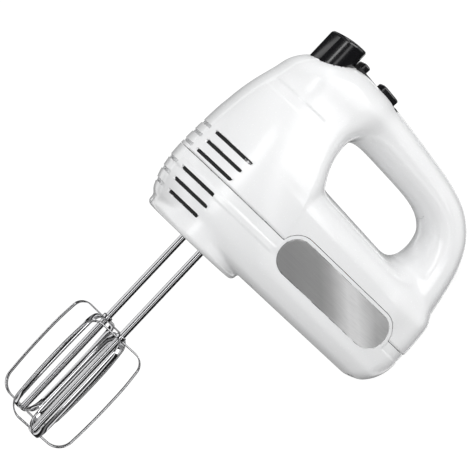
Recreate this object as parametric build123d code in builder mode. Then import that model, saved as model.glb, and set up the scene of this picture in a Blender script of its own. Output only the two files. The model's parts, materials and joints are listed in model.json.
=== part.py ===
"""Hand mixer, parked upright on its heel.

The mixer is drawn in its own working directions and every sketch plane below turns them
into the part's frame:
    u  back from the beater shafts towards the heel      (part -Z)
    w  up from the underside of the gearbox skirt        (part +X)
    y  across, with the left flank at -Y                 (part +Y)
The part's origin is the middle of the heel face, at the height of the parting line.
"""
from build123d import *
import math
import os

os.makedirs("parts", exist_ok=True)

# ---------------------------------------------------------------- driving dimensions, mm
HEEL_U = 145.7            # heel face behind the beater shafts
PARTING_W = 40.0          # parting line of the two housings
WALL = 2.3                # housing wall
GAP = 0.3                 # air between pieces that move past each other

SPINDLE_Y = 22.0          # beater shafts stand this far each side of the middle
SHAFT_R = 2.3             # beater shaft
BORE_R = 2.38             # bore of the hollow spindle
SPINDLE_R = 6.0
RUNNING = 0.05            # radial clearance of plain bearings
WORM_W = 46.0             # height of the motor axis
GEAR_TEETH = 28
GEAR_TIP_R = 16.3
WORM_TIP_R = 5.4
MOTOR_SHAFT_R = 2.5

EJECT_U = -15.7           # eject button
EJECT_R = 12.5
EJECT_TRAVEL = 6.0
FORK_W = 72.3             # underside of the ejector fork

DECK_U = 17.0             # middle of the switch deck on top of the handle
DECK_W = 149.0
DECK_FALL = 4.4           # degrees that the deck falls towards the heel

HEAD_TOP_W = -72.0        # beater head
HEAD_BOTTOM_W = -149.0
HEAD_R = 23.4
HEAD_SIDE_R = 21.9
STRIP_WIDTH = 4.0
STRIP_THICKNESS = 0.9

PLATE_FRONT_U = 27.7      # steel plate let into each flank
PLATE_REAR_U = 122.3
PLATE_W = 36.75
PLATE_HEIGHT = 24.5
PLATE_THICKNESS = 0.8
PLATE_LAND = 2.6          # land of the lower housing round the plate

VENT_ROWS = (59.7, 52.1, 44.3, 30.6, 22.6, 14.7)
VENT_HEIGHT = 2.0

# Housing sections: height, nose, heel, half width, half width at the heel, heel corner.
TUB = (
    (5.5, -40.0, 134.0, 35.0, 28.0, 15.0),
    (13.0, -44.6, 142.0, 40.5, 33.0, 15.0),
    (24.0, -47.4, 146.6, 43.0, 36.0, 15.0),
    (40.0, -48.6, 147.2, 43.5, 37.0, 15.0),
    (56.0, -48.3, 146.6, 43.0, 36.0, 15.0),
    (68.0, -47.3, 144.0, 40.0, 32.0, 14.0),
    (76.0, -44.5, 140.0, 34.0, 26.0, 13.0),
    (80.0, -38.0, 132.0, 26.0, 18.0, 10.0),
)
TUB_NOSE_SHARE = 0.37     # length of the elliptical nose, as a share of the section
TOWER = (
    (42.0, -47.6, 42.0, 42.0, 38.0, 12.0),
    (60.0, -47.9, 40.0, 42.2, 37.0, 12.0),
    (80.0, -46.4, 34.0, 37.5, 30.0, 12.0),
    (100.0, -43.3, 25.0, 31.0, 23.0, 11.0),
    (118.0, -37.6, 27.0, 25.0, 19.0, 11.0),
    (132.0, -30.5, 36.0, 20.5, 16.5, 10.0),
    (142.0, -19.5, 44.0, 17.5, 15.5, 10.0),
    (149.5, -6.0, 38.0, 14.0, 13.5, 9.0),
)
TOWER_NOSE_SHARE = 0.6
# Handle sections: u, w, heading in degrees, height, width.
HANDLE = (
    (8.0, 132.5, -3.0, 32.0, 34.0),
    (40.0, 131.7, -8.0, 31.5, 33.0),
    (75.0, 126.7, -11.0, 27.8, 31.5),
    (103.0, 119.2, -26.0, 27.0, 31.5),
    (118.0, 111.0, -55.0, 30.0, 33.0),
    (122.5, 93.0, -80.0, 38.0, 36.0),
    (120.0, 74.0, -90.0, 52.0, 46.0),
)

UP = (1, 0, 0)
FORWARD = (0, 0, 1)


# ---------------------------------------------------------------- places and planes
def spot(u, y, w):
    """The part-frame place of a point given in the mixer's own directions."""
    return (w - PARTING_W, y, HEEL_U - u)


def across(w, u=0.0, y=0.0):
    """Plane square to the beater shafts; local x runs back, local y across, extrude rises."""
    return Plane(origin=spot(u, y, w), x_dir=(0, 0, -1), z_dir=UP)


def side(y=0.0, w=0.0):
    """Upright plane along the mixer; local x runs back, local y up, extrude goes to the left."""
    return Plane(origin=spot(0, y, w), x_dir=(0, 0, -1), z_dir=(0, -1, 0))


def station(u, w=0.0, y=0.0):
    """Plane square to the motor axis; local x across, local y up, extrude goes back."""
    return Plane(origin=spot(u, y, w), x_dir=(0, 1, 0), z_dir=(0, 0, -1))


def deck(rise=0.0):
    """Plane of the switch deck; local x runs back along it, local y across."""
    fall = math.radians(-DECK_FALL)
    here = Plane(
        origin=spot(DECK_U, 0, DECK_W),
        x_dir=(math.sin(fall), 0, -math.cos(fall)),
        z_dir=(math.cos(fall), 0, math.sin(fall)),
    )
    return here.offset(rise)


def deck_x(u):
    return (u - DECK_U) / math.cos(math.radians(DECK_FALL))


SPINDLES = {"left": -SPINDLE_Y, "right": SPINDLE_Y}


# ---------------------------------------------------------------- simple bodies
def box(u_span, y_span, w_span):
    """A block between two stations, two widths and two heights."""
    with BuildPart() as block:
        with BuildSketch(across(w_span[0], (u_span[0] + u_span[1]) / 2, (y_span[0] + y_span[1]) / 2)):
            Rectangle(u_span[1] - u_span[0], y_span[1] - y_span[0])
        extrude(amount=w_span[1] - w_span[0])
    return block.part


def ring(plane, outer, inner, length):
    """A tube or washer standing on a plane."""
    with BuildPart() as tube:
        with BuildSketch(plane):
            Circle(outer)
            Circle(inner, mode=Mode.SUBTRACT)
        extrude(amount=length)
    return tube.part


def rod(plane, radius, length):
    with BuildPart() as bar:
        with BuildSketch(plane):
            Circle(radius)
        extrude(amount=length)
    return bar.part


def coil_spring(foot, length, radius, wire_r, turns):
    """A compression spring standing on a plane, as one round wire wound in a helix."""
    with BuildPart() as coil:
        with BuildLine() as wire:
            Helix(pitch=length / turns, height=length, radius=radius, center=foot.origin, direction=foot.z_dir)
        with BuildSketch(Plane(origin=wire.line @ 0, z_dir=wire.line % 0)):
            Circle(wire_r)
        sweep(is_frenet=True)
    return coil.part


# ---------------------------------------------------------------- outer form
def egg(w, nose, heel, half, heel_half, corner, nose_length):
    """One plan section: half an ellipse at the nose, then straight flanks to a rounded heel."""
    shoulder = nose + nose_length
    with BuildSketch(across(w)) as section:
        with BuildLine():
            EllipticalCenterArc((shoulder, 0), nose_length, half, start_angle=90, arc_size=180)
            Polyline((shoulder, -half), (heel, -heel_half), (heel, heel_half), (shoulder, half))
        make_face()
        square_corners = section.vertices().sort_by(Axis.X)[-2:]
        fillet(square_corners, corner)
    return section.sketch


def stack(rows, share, inset):
    """A loft through plan sections, drawn in by the inset on every side."""
    sections = []
    for w, nose, heel, half, heel_half, corner in rows:
        if w == rows[0][0]:
            w = w + inset
        elif w == rows[-1][0]:
            w = w - inset
        nose_length = (heel - nose) * share - inset
        sections.append(egg(w, nose + inset, heel - inset, half - inset, heel_half - inset,
                            corner - inset, nose_length))
    with BuildPart() as lofted:
        loft(sections=sections)
    return lofted.part


def handle_bar(inset):
    """The arched handle and the column behind the hand, as a loft of ellipses."""
    sections = []
    for u, w, heading, height, width in HANDLE:
        turn = math.radians(heading)
        here = Plane(origin=spot(u, 0, w), x_dir=(0, 1, 0), z_dir=(math.sin(turn), 0, -math.cos(turn)))
        with BuildSketch(here) as section:
            Ellipse(width / 2 - inset, height / 2 - inset)
        sections.append(section.sketch)
    with BuildPart() as bar:
        loft(sections=sections)
    return bar.part


def form(inset):
    """The whole outer shape, drawn in by the inset."""
    tub = stack(TUB, TUB_NOSE_SHARE, inset)
    tower = stack(TOWER, TOWER_NOSE_SHARE, inset)
    bar = handle_bar(inset)
    with BuildPart() as shape:
        add(tub)
        add(tower)
        add(bar)
        with BuildSketch(across(inset, -2.0)):
            Ellipse(33.5 - inset, 33.0 - inset)
        with BuildSketch(across(8.0 + inset, -2.0)):
            Ellipse(36.5 - inset, 36.5 - inset)
        loft()
        split(bisect_by=Plane.XY.offset(inset), keep=Keep.TOP)
    return shape.part


outer = form(0)
cavity = form(WALL)
plate_seat = form(PLATE_THICKNESS)


def racetrack(grow):
    """The plate's outline carried right across both flanks."""
    length = PLATE_REAR_U - PLATE_FRONT_U + 2 * grow
    with BuildPart() as prism:
        with BuildSketch(side(60.0, PLATE_W)):
            with Locations(((PLATE_FRONT_U + PLATE_REAR_U) / 2, 0)):
                SlotOverall(length, PLATE_HEIGHT + 2 * grow)
        extrude(amount=120.0)
    return prism.part


# ---------------------------------------------------------------- side plates
for name, y_span in (("left", (-60.0, 0.0)), ("right", (0.0, 60.0))):
    outline = racetrack(0.0)
    half_space = box((0.0, 150.0), y_span, (0.0, 80.0))
    with BuildPart() as side_plate:
        add(outline)
        add(half_space, mode=Mode.INTERSECT)
        add(outer, mode=Mode.INTERSECT)
        add(plate_seat, mode=Mode.SUBTRACT)
    side_plate.part.label = "side_plate_" + name
    export_step(side_plate.part, "parts/side_plate_" + name + ".step")

# ---------------------------------------------------------------- housing shell
HOUSING_SCREWS = ((33.0, -34.0), (33.0, 34.0), (128.0, -27.0), (128.0, 27.0), (-36.5, 0.0))
BRACKET_SCREWS = ((22.0, -24.0), (22.0, 24.0), (-22.0, 0.0))
SCREW_R = 1.5
SCREW_HEAD_R = 3.2
BOSS_R = 4.5
BOSS_TOP_W = 58.0
FOOT_W = 30.0             # top of the posts under the gear bracket
BUSH_R = 9.0
TERMINAL_W = 58.0

with BuildPart() as fittings:
    # Screw bosses, with a web from each side boss to the flank.
    for u, y in HOUSING_SCREWS:
        with BuildSketch(across(0.0, u, y)):
            Circle(BOSS_R)
        extrude(amount=BOSS_TOP_W)
        with BuildSketch(across(8.0, u, y)):
            if y:
                with Locations((0, math.copysign(8.0, y))):
                    Rectangle(2.0, 16.0)
            else:
                with Locations((-7.0, 0)):
                    Rectangle(14.0, 2.0)
        extrude(amount=BOSS_TOP_W - 8.0)
    # Posts for the gear bracket and sockets for the lower bushes.
    for u, y in BRACKET_SCREWS:
        with BuildSketch(across(0.0, u, y)):
            Circle(4.0)
        extrude(amount=FOOT_W)
    for y in SPINDLES.values():
        with BuildSketch(across(0.0, 0.0, y)):
            Circle(BUSH_R + 2.0)
        extrude(amount=16.0)
    # Cradle ribs under the motor and its rear bracket.
    for u, top in ((55.0, 20.0), (69.0, 20.0), (96.0, 18.0)):
        with BuildSketch(across(0.0, u + 1.5)):
            Rectangle(3.0, 60.0)
        extrude(amount=top)
    # Post under the terminal block.
    with BuildSketch(across(0.0, 117.0)):
        Rectangle(6.0, 20.0)
    extrude(amount=TERMINAL_W)
    # Shelf that guides the eject stem and carries its spring.
    with BuildSketch(across(116.0, -16.0)):
        Rectangle(44.0, 60.0)
    extrude(amount=3.0)

cover_prism = box((30.0, 98.0), (-10.0, 10.0), (98.0, 124.0))

with BuildPart() as shell:
    add(fittings.part)
    add(outer, mode=Mode.INTERSECT)
    add(outer - cavity)
    # Spindle holes in the skirt, each with the seat of its lower bush.
    for y in SPINDLES.values():
        with BuildSketch(across(-1.0, 0.0, y)):
            Circle(7.0)
        extrude(amount=6.0, mode=Mode.SUBTRACT)
        with BuildSketch(across(4.0, 0.0, y)):
            Circle(BUSH_R)
        extrude(amount=14.0, mode=Mode.SUBTRACT)
    # Screw holes, opened from below for the heads.
    for u, y in HOUSING_SCREWS:
        with BuildSketch(across(-1.0, u, y)):
            Circle(SCREW_R)
        extrude(amount=BOSS_TOP_W - 3.0, mode=Mode.SUBTRACT)
        with BuildSketch(across(-1.0, u, y)):
            Circle(SCREW_HEAD_R + 0.2)
        extrude(amount=13.0, mode=Mode.SUBTRACT)
    for u, y in BRACKET_SCREWS:
        with BuildSketch(across(FOOT_W - 12.0, u, y)):
            Circle(SCREW_R)
        extrude(amount=13.0, mode=Mode.SUBTRACT)
    # Cooling slots: a row on each side of the nose and one across its spine.
    for w in VENT_ROWS:
        with BuildSketch(across(w - VENT_HEIGHT / 2, -37.0)):
            with Locations((0, -24.25), (0, 24.25)):
                Rectangle(46.0, 19.5)
            with Locations((-13.0, 0)):
                Rectangle(20.0, 17.0)
        extrude(amount=VENT_HEIGHT, mode=Mode.SUBTRACT)
    # Eject button well and the hole for its stem.
    with BuildSketch(across(119.5, EJECT_U)):
        Circle(EJECT_R + 0.4)
    extrude(amount=40.0, mode=Mode.SUBTRACT)
    with BuildSketch(across(110.0, EJECT_U)):
        Circle(4.4)
    extrude(amount=20.0, mode=Mode.SUBTRACT)

CORD_W = 97.0             # cord inlet, in the column behind the hand
CORD_U = 136.4
CORD_RISE = 30.0
GLAND_R = 6.0
CORD_BORE_R = 3.6
CORD_RUN = (math.sin(math.radians(CORD_RISE)), 0, -math.cos(math.radians(CORD_RISE)))
inlet = Plane(origin=spot(CORD_U, 0, CORD_W), x_dir=(0, 1, 0), z_dir=CORD_RUN)

BEZEL_FRONT = deck_x(-1.9)
BEZEL_REAR = deck_x(36.0)
BEZEL_HALF = 8.0
BEZEL_THICKNESS = 3.0
TURBO_FRONT = deck_x(-0.9)
TURBO_REAR = deck_x(4.6)
TURBO_HALF = 6.0
SLIDER_FRONT = deck_x(18.5)
SLIDER_REAR = deck_x(33.0)
SLIDER_HALF = 5.5
SLIDER_TRAVEL = 11.0


def deck_block(front, rear, half, low, high):
    """A block on the switch deck, between two heights above it."""
    with BuildPart() as block:
        with BuildSketch(deck(low)):
            with Locations(((front + rear) / 2, 0)):
                Rectangle(rear - front, 2 * half)
        extrude(amount=high - low)
    return block.part


land = racetrack(PLATE_LAND)
deck_pocket = deck_block(BEZEL_FRONT, BEZEL_REAR, BEZEL_HALF, -BEZEL_THICKNESS, 8.0)
switch_pocket = deck_block(BEZEL_FRONT + 0.5, BEZEL_REAR - 1.5, BEZEL_HALF - 1.2, -12.0, 0.0)
gland_hole = rod(inlet.offset(-12.0), GLAND_R, 20.0)

with BuildPart() as upper_housing:
    add(shell.part)
    split(bisect_by=Plane.YZ, keep=Keep.TOP)
    add(land, mode=Mode.SUBTRACT)
    add(cover_prism, mode=Mode.SUBTRACT)
    add(deck_pocket, mode=Mode.SUBTRACT)
    add(switch_pocket, mode=Mode.SUBTRACT)
    add(gland_hole, mode=Mode.SUBTRACT)
upper_housing.part.label = "upper_housing"
export_step(upper_housing.part, "parts/upper_housing.step")


with BuildPart() as upper_side:
    add(outer)
    split(bisect_by=Plane.YZ, keep=Keep.TOP)
    add(land, mode=Mode.SUBTRACT)

plate_recess = racetrack(0.0) - plate_seat

with BuildPart() as lower_housing:
    add(shell.part)
    add(upper_side.part, mode=Mode.SUBTRACT)
    add(plate_recess, mode=Mode.SUBTRACT)
lower_housing.part.label = "lower_housing"
export_step(lower_housing.part, "parts/lower_housing.step")

# Cover let into the inner side of the handle.
with BuildPart() as handle_cover:
    add(cover_prism)
    add(outer, mode=Mode.INTERSECT)
    add(cavity, mode=Mode.SUBTRACT)
handle_cover.part.label = "handle_cover"
export_step(handle_cover.part, "parts/handle_cover.step")

# ---------------------------------------------------------------- screws
def screws(places, head_w, length, from_below):
    """Pan-head screws side by side, all on axes parallel to the shafts."""
    with BuildPart() as group:
        for u, y in places:
            with BuildSketch(across(head_w, u, y)):
                Circle(SCREW_HEAD_R - 0.2)
            extrude(amount=-2.0 if from_below else 2.0)
            with BuildSketch(across(head_w, u, y)):
                Circle(SCREW_R)
            extrude(amount=length if from_below else -length)
    return group.part


housing_screws = screws(HOUSING_SCREWS, 12.0, BOSS_TOP_W - 17.0, True)
housing_screws.label = "housing_screws"
export_step(housing_screws, "parts/housing_screws.step")

bracket_screws = screws(BRACKET_SCREWS, FOOT_W + 3.0, 12.0, False)
bracket_screws.label = "bracket_screws"
export_step(bracket_screws, "parts/bracket_screws.step")

# ---------------------------------------------------------------- ejector
BUTTON_TOP_W = 160.3
BUTTON_FOOT_W = 131.0
STEM_R = 4.0
SHELF_TOP_W = 119.0

with BuildPart() as eject_button:
    with BuildSketch(side()):
        with BuildLine():
            Polyline((0, FORK_W + 2.0), (STEM_R, FORK_W + 2.0), (STEM_R, 155.5), (EJECT_R - 1.8, 155.5),
                     (EJECT_R - 1.8, BUTTON_FOOT_W), (EJECT_R, BUTTON_FOOT_W), (EJECT_R, 156.8))
            ThreePointArc((EJECT_R, 156.8), (EJECT_R - 1.0, 159.0), (EJECT_R - 3.2, 159.9))
            Polyline((EJECT_R - 3.2, 159.9), (0, BUTTON_TOP_W), (0, FORK_W + 2.0))
        make_face()
    revolve(axis=Axis(spot(0, 0, 0), UP))
eject_button.part = eject_button.part.translate(Vector(0, 0, -EJECT_U))
eject_button.part.label = "eject_button"
export_step(eject_button.part, "parts/eject_button.step")

with BuildPart() as eject_fork:
    # A T-shaped arm from the stem out over both spindles.
    with BuildSketch(across(FORK_W)):
        Rectangle(9.0, 2 * SPINDLE_Y + 10.0)
        with Locations((EJECT_U / 2, 0)):
            Rectangle(-EJECT_U + 6.0, 12.0)
        with Locations((EJECT_U, 0)):
            Circle(7.0)
    extrude(amount=4.5)
    with BuildSketch(across(FORK_W, EJECT_U)):
        Circle(7.0)
    extrude(amount=9.0)
    with BuildSketch(across(FORK_W + 2.0, EJECT_U)):
        Circle(STEM_R)
    extrude(amount=8.0, mode=Mode.SUBTRACT)
eject_fork.part.label = "eject_fork"
export_step(eject_fork.part, "parts/eject_fork.step")

eject_spring = coil_spring(across(SHELF_TOP_W + 0.8, EJECT_U), 34.5, 7.0, 0.6, 7)
eject_spring.label = "eject_spring"
export_step(eject_spring, "parts/eject_spring.step")

# ---------------------------------------------------------------- switch deck
TURBO_TOP = 4.4           # heights above the switch deck
SLIDER_TOP = 4.0
STEM_HALF = 1.5

slider_stem_x = (SLIDER_FRONT + SLIDER_REAR) / 2

with BuildPart() as switch_bezel:
    add(deck_block(BEZEL_FRONT, BEZEL_REAR, BEZEL_HALF, -BEZEL_THICKNESS, 0.0))
    # Guide slot of the speed slider's stem.
    slot_front = slider_stem_x - SLIDER_TRAVEL - STEM_HALF - GAP
    slot_rear = slider_stem_x + STEM_HALF + GAP
    add(deck_block(slot_front, slot_rear, STEM_HALF + GAP, -10.0, 5.0), mode=Mode.SUBTRACT)
    # Window of the turbo button.
    add(deck_block(TURBO_FRONT - GAP, TURBO_REAR + GAP, TURBO_HALF + GAP, -10.0, 5.0), mode=Mode.SUBTRACT)
switch_bezel.part.label = "switch_bezel"
export_step(switch_bezel.part, "parts/switch_bezel.step")

with BuildPart() as turbo_button:
    with BuildSketch(deck(-6.0)):
        with Locations(((TURBO_FRONT + TURBO_REAR) / 2, 0)):
            Rectangle(TURBO_REAR - TURBO_FRONT, 2 * TURBO_HALF)
    extrude(amount=6.0 + TURBO_TOP)
    top_edges = turbo_button.faces().sort_by(Axis.X)[-1].edges()
    fillet(top_edges, 1.2)
turbo_button.part.label = "turbo_button"
export_step(turbo_button.part, "parts/turbo_button.step")

turbo_spring = coil_spring(
    deck(-11.0).shift_origin(deck(-11.0).from_local_coords(((TURBO_FRONT + TURBO_REAR) / 2, 0, 0))),
    4.4, 1.8, 0.25, 4)
turbo_spring.label = "turbo_spring"
export_step(turbo_spring, "parts/turbo_spring.step")

with BuildPart() as speed_slider:
    with BuildSketch(deck(GAP)):
        with Locations(((SLIDER_FRONT + SLIDER_REAR) / 2, 0)):
            Rectangle(SLIDER_REAR - SLIDER_FRONT, 2 * SLIDER_HALF)
    extrude(amount=SLIDER_TOP - GAP)
    fillet(speed_slider.faces().sort_by(Axis.X)[-1].edges(), 1.0)
    # Finger ribs across the top.
    for x in (-3.6, -1.2, 1.2, 3.6):
        with BuildSketch(deck(SLIDER_TOP - 0.6)):
            with Locations((slider_stem_x + x, 0)):
                Rectangle(0.9, 2 * SLIDER_HALF)
        extrude(amount=2.0, mode=Mode.SUBTRACT)
    with BuildSketch(deck(-8.0)):
        with Locations((slider_stem_x, 0)):
            Rectangle(2 * STEM_HALF, 2 * STEM_HALF)
    extrude(amount=8.0 + GAP)
speed_slider.part.label = "speed_slider"
export_step(speed_slider.part, "parts/speed_slider.step")

# Rotary-free slide switch below the deck, with a channel for the slider's stem.
with BuildPart() as speed_switch:
    add(deck_block(deck_x(8.0), deck_x(33.0), 5.5, -17.0, -5.5))
    add(deck_block(slot_front - 1.0, slot_rear + 1.0, STEM_HALF + 0.6, -9.0, 0.0), mode=Mode.SUBTRACT)
speed_switch.part.label = "speed_switch"
export_step(speed_switch.part, "parts/speed_switch.step")

with BuildPart() as turbo_switch:
    add(deck_block(TURBO_FRONT, TURBO_REAR, 5.5, -17.0, -11.5))
turbo_switch.part.label = "turbo_switch"
export_step(turbo_switch.part, "parts/turbo_switch.step")

# ---------------------------------------------------------------- cord inlet
with BuildPart() as cord_gland:
    with BuildSketch(inlet.offset(-10.0)):
        Circle(GLAND_R)
    extrude(amount=13.0)
    with BuildSketch(inlet.offset(-13.0)):
        Circle(GLAND_R + 1.5)
    extrude(amount=3.0)
    with BuildSketch(inlet.offset(-14.0)):
        Circle(CORD_BORE_R)
    extrude(amount=20.0, mode=Mode.SUBTRACT)
cord_gland.part.label = "cord_gland"
export_step(cord_gland.part, "parts/cord_gland.step")

cord_clamp = box((112.0, 120.0), (-9.0, 9.0), (84.0, 88.0))
cord_clamp.label = "cord_clamp"
export_step(cord_clamp, "parts/cord_clamp.step")

with BuildPart() as terminal_block:
    add(box((112.0, 122.0), (-14.0, 14.0), (TERMINAL_W, TERMINAL_W + 10.0)))
    for y in (-9.0, 0.0, 9.0):
        with BuildSketch(across(TERMINAL_W + 10.0, 117.0, y)):
            Circle(2.2)
        extrude(amount=-7.0, mode=Mode.SUBTRACT)
terminal_block.part.label = "terminal_block"
export_step(terminal_block.part, "parts/terminal_block.step")

# ---------------------------------------------------------------- motor
MOTOR_AXIS = Axis(spot(0, 0, WORM_W), FORWARD)
STACK_FRONT_U = 52.0
STACK_LENGTH = 22.0
ROTOR_R = 16.8
STATOR_BORE_R = 17.3
STATOR_WIDTH = 60.0
STATOR_HEIGHT = 52.0
COIL_INNER_Y = 19.0
COIL_OUTER_Y = 25.0
COIL_MIDDLE_U = STACK_FRONT_U + STACK_LENGTH / 2
COMMUTATOR_U = (83.0, 94.0)
COMMUTATOR_R = 9.0
BRUSH_U = 89.0
BRUSH_HALF = 2.5
POLE_HALF_W = 10.0
COIL_DEPTH = 6.0

with BuildPart() as stator_core:
    with BuildSketch(station(STACK_FRONT_U, WORM_W)):
        RectangleRounded(STATOR_WIDTH, STATOR_HEIGHT, 8.0)
        Circle(STATOR_BORE_R, mode=Mode.SUBTRACT)
        # Windows for the field coils, above and below each pole.
        middle = (COIL_INNER_Y + COIL_OUTER_Y) / 2
        with Locations(*[(sy * middle, sw * (POLE_HALF_W + COIL_DEPTH / 2)) for sy in (-1, 1) for sw in (-1, 1)]):
            Rectangle(COIL_OUTER_Y - COIL_INNER_Y + 0.6, COIL_DEPTH + 0.6, mode=Mode.SUBTRACT)
    extrude(amount=STACK_LENGTH)
stator_core.part.label = "stator_core"
export_step(stator_core.part, "parts/stator_core.step")

with BuildPart() as field_coils:
    for y in (COIL_OUTER_Y, -COIL_INNER_Y):
        with BuildSketch(side(y, WORM_W)):
            with Locations((COIL_MIDDLE_U, 0)):
                RectangleRounded(STACK_LENGTH + 2 + 2 * COIL_DEPTH, 2 * (POLE_HALF_W + COIL_DEPTH), 5.0)
                Rectangle(STACK_LENGTH + 2, 2 * POLE_HALF_W, mode=Mode.SUBTRACT)
        extrude(amount=COIL_OUTER_Y - COIL_INNER_Y)
field_coils.part.label = "field_coils"
export_step(field_coils.part, "parts/field_coils.step")

with BuildPart() as rotor_core:
    with BuildSketch(station(STACK_FRONT_U, WORM_W)):
        Circle(ROTOR_R)
        Circle(MOTOR_SHAFT_R, mode=Mode.SUBTRACT)
        with PolarLocations(13.0, 12):
            SlotOverall(6.0, 2.6, mode=Mode.SUBTRACT)
        with PolarLocations(ROTOR_R, 12):
            Rectangle(3.0, 1.0, mode=Mode.SUBTRACT)
    extrude(amount=STACK_LENGTH)
rotor_core.part.label = "rotor_core"
export_step(rotor_core.part, "parts/rotor_core.step")

with BuildPart() as rotor_windings:
    # End turns in front of and behind the core.
    for u in (STACK_FRONT_U - 5.5, STACK_FRONT_U + STACK_LENGTH):
        with BuildSketch(station(u, WORM_W)):
            Circle(15.2)
            Circle(4.5, mode=Mode.SUBTRACT)
        extrude(amount=5.5)
    outer_rims = rotor_windings.edges().filter_by(GeomType.CIRCLE).group_by(SortBy.RADIUS)[-1]
    fillet(outer_rims, 2.0)
rotor_windings.part.label = "rotor_windings"
export_step(rotor_windings.part, "parts/rotor_windings.step")

with BuildPart() as commutator:
    with BuildSketch(station(COMMUTATOR_U[0], WORM_W)):
        Circle(COMMUTATOR_R)
        Circle(MOTOR_SHAFT_R, mode=Mode.SUBTRACT)
        with PolarLocations(COMMUTATOR_R, 12):
            Rectangle(1.6, 0.5, mode=Mode.SUBTRACT)
    extrude(amount=COMMUTATOR_U[1] - COMMUTATOR_U[0])
commutator.part.label = "commutator"
export_step(commutator.part, "parts/commutator.step")

motor_shaft = rod(station(-27.0, WORM_W), MOTOR_SHAFT_R, 131.0)
motor_shaft.label = "motor_shaft"
export_step(motor_shaft, "parts/motor_shaft.step")

FAN_U = 34.0
with BuildPart() as cooling_fan:
    with BuildSketch(station(FAN_U, WORM_W)):
        Circle(24.0)
        Circle(MOTOR_SHAFT_R, mode=Mode.SUBTRACT)
    extrude(amount=1.2)
    with BuildSketch(station(FAN_U, WORM_W)):
        Circle(7.0)
        Circle(MOTOR_SHAFT_R, mode=Mode.SUBTRACT)
        with PolarLocations(15.0, 9):
            Rectangle(17.0, 1.2)
    extrude(amount=8.0)
cooling_fan.part.label = "cooling_fan"
export_step(cooling_fan.part, "parts/cooling_fan.step")

# Two-start worm: a sleeve with two threads wound round it.
WORM_HALF = 9.0
WORM_ROOT_R = 3.9
WORM_LEAD = 7.0
worm_foot = station(-WORM_HALF, WORM_W)
with BuildPart() as worm_thread:
    with BuildLine() as thread:
        Helix(pitch=WORM_LEAD, height=2 * WORM_HALF, radius=WORM_ROOT_R - 0.2,
              center=worm_foot.origin, direction=worm_foot.z_dir)
    start = thread.line @ 0
    outward = start - Vector(*worm_foot.origin)
    with BuildSketch(Plane(origin=start, x_dir=outward, z_dir=thread.line % 0)):
        with Locations(((WORM_TIP_R - WORM_ROOT_R + 0.2) / 2, 0)):
            Rectangle(WORM_TIP_R - WORM_ROOT_R + 0.2, 1.6)
    sweep(path=thread.line, is_frenet=True)

with BuildPart() as worm:
    with BuildSketch(station(-WORM_HALF - 2, WORM_W)):
        Circle(WORM_ROOT_R)
        Circle(MOTOR_SHAFT_R, mode=Mode.SUBTRACT)
    extrude(amount=2 * WORM_HALF + 4)
    add(worm_thread.part)
    add(worm_thread.part.rotate(MOTOR_AXIS, 180))
worm.part.label = "worm"
export_step(worm.part, "parts/worm.step")

BEARING_R = 6.0
FRONT_BEARING_U = -26.0
REAR_BEARING_U = 95.5
for name, u in (("front_bearing", FRONT_BEARING_U), ("rear_bearing", REAR_BEARING_U)):
    bearing = ring(station(u, WORM_W), BEARING_R, MOTOR_SHAFT_R + RUNNING, 7.0)
    bearing.label = name
    export_step(bearing, "parts/" + name + ".step")

REAR_BRACKET_U = (96.0, 99.5)
with BuildPart() as rear_bracket:
    with BuildSketch(station(REAR_BRACKET_U[0], WORM_W)):
        with Locations((0, -1.5)):
            RectangleRounded(56.0, 53.0, 6.0)
        Circle(BEARING_R, mode=Mode.SUBTRACT)
        with Locations((0, 18.0), (0, -19.0)):
            SlotOverall(30.0, 7.0, mode=Mode.SUBTRACT)
    extrude(amount=REAR_BRACKET_U[1] - REAR_BRACKET_U[0])
    # Pads that carry the brush holders.
    with BuildSketch(station(BRUSH_U + BRUSH_HALF + 1.2, WORM_W)):
        with Locations((-18.0, 0), (18.0, 0)):
            Rectangle(12.0, 7.0)
    extrude(amount=REAR_BRACKET_U[0] - BRUSH_U - BRUSH_HALF - 1.2)
rear_bracket.part.label = "rear_bracket"
export_step(rear_bracket.part, "parts/rear_bracket.step")

brush_start_y = COMMUTATOR_R + GAP
with BuildPart() as carbon_brushes:
    for y in (brush_start_y + 11.0, -brush_start_y):
        with BuildSketch(side(y, WORM_W)):
            with Locations((BRUSH_U, 0)):
                Rectangle(2 * BRUSH_HALF, 2 * BRUSH_HALF)
        extrude(amount=11.0)
carbon_brushes.part.label = "carbon_brushes"
export_step(carbon_brushes.part, "parts/carbon_brushes.step")

with BuildPart() as brush_holders:
    for y in (25.0, -11.5):
        with BuildSketch(side(y, WORM_W)):
            with Locations((BRUSH_U, 0)):
                Rectangle(2 * BRUSH_HALF + 2.2, 2 * BRUSH_HALF + 2.2)
                Rectangle(2 * BRUSH_HALF, 2 * BRUSH_HALF, mode=Mode.SUBTRACT)
        extrude(amount=13.5)
brush_holders.part.label = "brush_holders"
export_step(brush_holders.part, "parts/brush_holders.step")

# ---------------------------------------------------------------- gear bracket and bushes
UPPER_BUSH_R = 8.5
BRACKET_TOP_W = (56.0, 60.0)
LEG_REAR_U = (20.5, 24.0)
LEG_FRONT_U = (-24.5, -21.0)

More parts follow.
